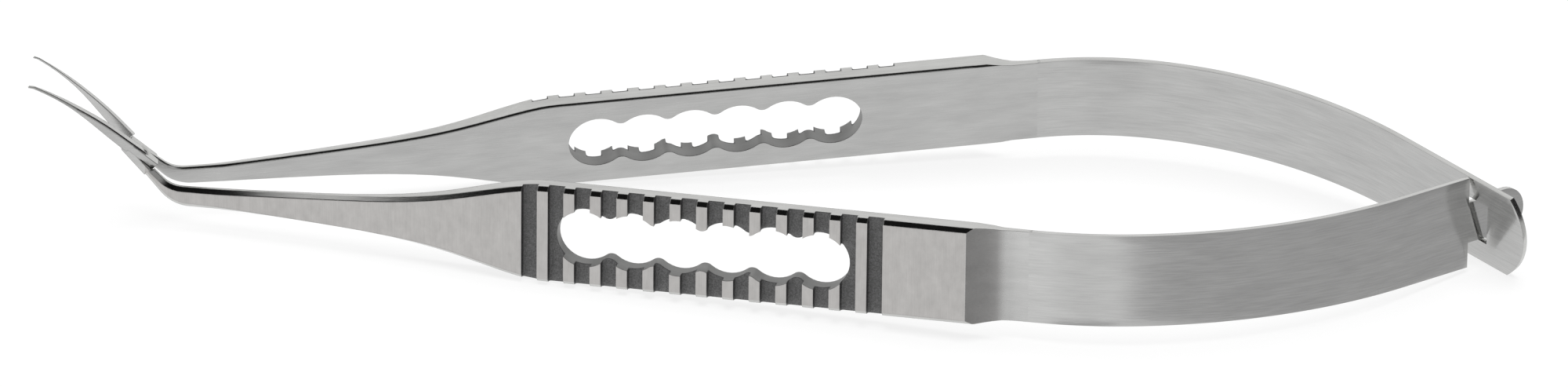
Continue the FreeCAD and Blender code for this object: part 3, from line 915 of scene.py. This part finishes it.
        # The broad faces alone rule the shading, so that the rims don't bend it.
        even = leaf.modifiers.new("even_shading", "WEIGHTED_NORMAL")
        even.weight = 100
        even.keep_sharp = True
        bpy.context.view_layer.update()
        final = leaf.evaluated_get(bpy.context.evaluated_depsgraph_get())
        leaf.data = bpy.data.meshes.new_from_object(final)
        leaf.modifiers.clear()
        leaf.data.materials.append(self.finish.build())
        side = self.half.name.lower()
        tuple(self.place(0, 0, 0))
        tuple(self.place(self.bend_length, 0, 0))
        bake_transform(leaf)
        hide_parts(side + "_spring")
        return leaf


@dataclass
class Arms:
    """The two arms and their rivet: CAD nodes that get their finishes."""

    steel: SatinArmSteel = field(default_factory=SatinArmSteel)
    rivet: PolishedRivetSteel = field(default_factory=PolishedRivetSteel)

    def dress(self) -> None:
        """Put the finishes on the nodes."""
        for half in Half:
            self.put(half.name.lower() + "_arm", self.steel.build(HandlePlace(half)))
        self.put("pivot_rivet", self.rivet.build())

    def put(self, node_name: str, material: bpy.types.Material) -> None:
        """Put a material on every slot of a node.

        Args:
            node_name: name of the CAD node.
            material: the finish.
        """
        node = frame["nodes"][node_name]
        if not node.material_slots:
            node.data.materials.append(material)
        for slot in node.material_slots:
            slot.material = material
        LOG.info("finished %s with %s", node_name, material.name)


@dataclass(frozen=True)
class PaleFloor:
    """Matt white board that the forceps lie on. It shows white and keeps a soft shadow."""

    # Metres.
    half_side: float = 3.0
    colour: str = "#F6F6F6"
    # The share of pure white in what the camera sees. The rest shows the shadow.
    white_share: float = 0.8

    def build(self) -> None:
        """Make the floor."""
        side = self.half_side
        mesh = bpy.data.meshes.new("floor")
        corners = [(-side, -side, 0), (side, -side, 0), (side, side, 0), (-side, side, 0)]
        mesh.from_pydata(corners, [], [(0, 1, 2, 3)])
        floor = bpy.data.objects.new("floor", mesh)
        bpy.context.scene.collection.objects.link(floor)
        material, tree = new_finish("matt_white_board")
        paint = add_node(tree, "ShaderNodeBsdfDiffuse", inputs={0: linear(self.colour)})
        white = add_node(tree, "ShaderNodeEmission", inputs={"Strength": 1.0})
        seen = add_node(tree, "ShaderNodeLightPath")
        share = add_node(tree, "ShaderNodeMath", {"operation": "MULTIPLY"},
                         {0: seen.outputs["Is Camera Ray"], 1: self.white_share})
        mixed = add_node(tree, "ShaderNodeMixShader", inputs={
            0: share.outputs[0], 1: paint.outputs[0], 2: white.outputs[0]})
        add_node(tree, "ShaderNodeOutputMaterial", inputs={"Surface": mixed.outputs[0]})
        mesh.materials.append(material)
        # The steel mirrors the white tent below it as it does above, not its own shadow.
        floor.visible_glossy = False


@dataclass(frozen=True)
class TentPatch:
    """Round patch of the tent with a light level of its own."""

    # The direction of its middle in degrees.
    azimuth: float
    elevation: float
    # The cosines of the angles from its middle at which it starts and is full.
    start: float
    full: float
    level: float

    def level_of(self, tree: bpy.types.NodeTree,
                 way: bpy.types.NodeSocket) -> bpy.types.NodeSocket:
        """Give the light level of the patch in a direction, or 1 outside it.

        Args:
            tree: the world's node tree.
            way: direction of the ray.

        Returns:
            The socket of the level.
        """
        azimuth, elevation = math.radians(self.azimuth), math.radians(self.elevation)
        middle = (math.cos(azimuth) * math.cos(elevation), math.sin(azimuth) * math.cos(elevation),
                  math.sin(elevation))
        near = add_node(tree, "ShaderNodeVectorMath", {"operation": "DOT_PRODUCT"},
                        {0: way, 1: middle})
        faded = add_node(tree, "ShaderNodeMapRange", {"interpolation_type": "SMOOTHSTEP"}, {
            "Value": near.outputs["Value"], "From Min": self.start, "From Max": self.full,
            "To Min": 1.0, "To Max": self.level})
        return faded.outputs[0]


@dataclass(frozen=True)
class StudioLight:
    """Soft light of a white tent.

    It has a dark opening high in front, a dark gap on the right, two unlike front walls and a
    shaded foot below them, which the steel mirrors. The camera itself sees plain white.
    """

    around: float = 0.8
    backdrop: float = 1.0
    opening: TentPatch = TentPatch(-122.0, 62.0, 0.50, 0.80, 0.01)
    right_wall: TentPatch = TentPatch(-30.0, 20.0, 0.500, 0.525, 0.61)
    left_wall: TentPatch = TentPatch(-125.0, 14.0, 0.61, 0.655, 1.17)
    right_gap: TentPatch = TentPatch(0.0, 24.0, 0.84, 0.91, 0.03)
    foot_wall: TentPatch = TentPatch(-94.0, -29.0, 0.982, 0.993, 0.55)
    # Metres and watts.
    lamp_height: float = 1.2
    lamp_size: float = 1.0
    lamp_power: float = 18.0

    def build(self) -> None:
        """Make the world and the lamp that gives the floor its soft shadow."""
        world = bpy.data.worlds.new("white_tent")
        bpy.context.scene.world = world
        world.use_nodes = True
        tree = world.node_tree
        tree.nodes.clear()
        source = add_node(tree, "ShaderNodeTexCoord")
        patches = (self.opening, self.right_wall, self.left_wall, self.right_gap, self.foot_wall)
        level = all_of(tree, *(patch.level_of(tree, source.outputs["Generated"])
                               for patch in patches))
        seen = add_node(tree, "ShaderNodeLightPath")
        tent = add_node(tree, "ShaderNodeMath", {"operation": "MULTIPLY"},
                        {0: level, 1: self.around})
        shown = add_node(tree, "ShaderNodeMix", {"data_type": "FLOAT"},
                         {0: seen.outputs["Is Camera Ray"], 2: tent.outputs[0], 3: self.backdrop})
        light = add_node(tree, "ShaderNodeBackground", inputs={
            "Color": (1.0, 1.0, 1.0, 1.0), "Strength": shown.outputs[0]})
        add_node(tree, "ShaderNodeOutputWorld", inputs={"Surface": light.outputs[0]})
        lamp_data = bpy.data.lights.new("soft_top_light", "AREA")
        lamp_data.size = self.lamp_size
        lamp_data.energy = self.lamp_power
        lamp = bpy.data.objects.new("soft_top_light", lamp_data)
        lamp.location = (0, 0, self.lamp_height)
        # The steel mirrors the tent, not the lamp.
        lamp.visible_glossy = False
        bpy.context.scene.collection.objects.link(lamp)


@dataclass(frozen=True)
class PhotoView:
    """Camera at the photograph's angle, from far away through a long lens."""

    # Degrees.
    azimuth: float = 1.641
    elevation: float = 31.052
    roll: float = 1.167
    # Millimetres, and pixels of the photograph.
    target: tuple[float, float, float] = (0.419, -0.056, 3.841)
    distance: float = 1000.0
    sensor: float = 36.0
    pixels_per_mm: float = 17.446
    image_width: int = 2000
    # Metres.
    nearest: float = 0.01
    farthest: float = 20.0

    def build(self) -> None:
        """Make the camera and make it the scene's own."""
        azimuth, elevation = math.radians(self.azimuth), math.radians(self.elevation)
        right = Vector((math.cos(azimuth), math.sin(azimuth), 0))
        ahead = Vector((-math.sin(azimuth) * math.cos(elevation),
                        math.cos(azimuth) * math.cos(elevation), -math.sin(elevation)))
        up = right.cross(ahead)
        roll = math.radians(self.roll)
        right, up = (right * math.cos(roll) + up * math.sin(roll),
                     up * math.cos(roll) - right * math.sin(roll))
        data = bpy.data.cameras.new("camera")
        data.sensor_width = self.sensor
        data.lens = self.pixels_per_mm * self.distance * self.sensor / self.image_width
        data.clip_start, data.clip_end = self.nearest, self.farthest
        camera = bpy.data.objects.new("camera", data)
        place = (Vector(self.target) - ahead * self.distance) * MM
        axes = Matrix((right, up, -ahead)).transposed().to_4x4()
        camera.matrix_world = Matrix.Translation(place) @ axes
        bpy.context.scene.collection.objects.link(camera)
        bpy.context.scene.camera = camera


def main() -> None:
    """Build the parts of the scene in order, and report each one."""
    logging.basicConfig(level=logging.INFO, format="%(name)s: %(message)s")
    bpy.context.scene.view_settings.view_transform = "Standard"
    PhotoView().build()
    LOG.info("camera stands")
    Arms().dress()
    for half in Half:
        leaf = LeafSpring(half).build()
        LOG.info("built %s with %d faces", leaf.name, len(leaf.data.polygons))
    PaleFloor().build()
    LOG.info("floor lies under the forceps")
    StudioLight().build()
    LOG.info("tent and lamp stand")


if __name__ == "__main__":
    main()
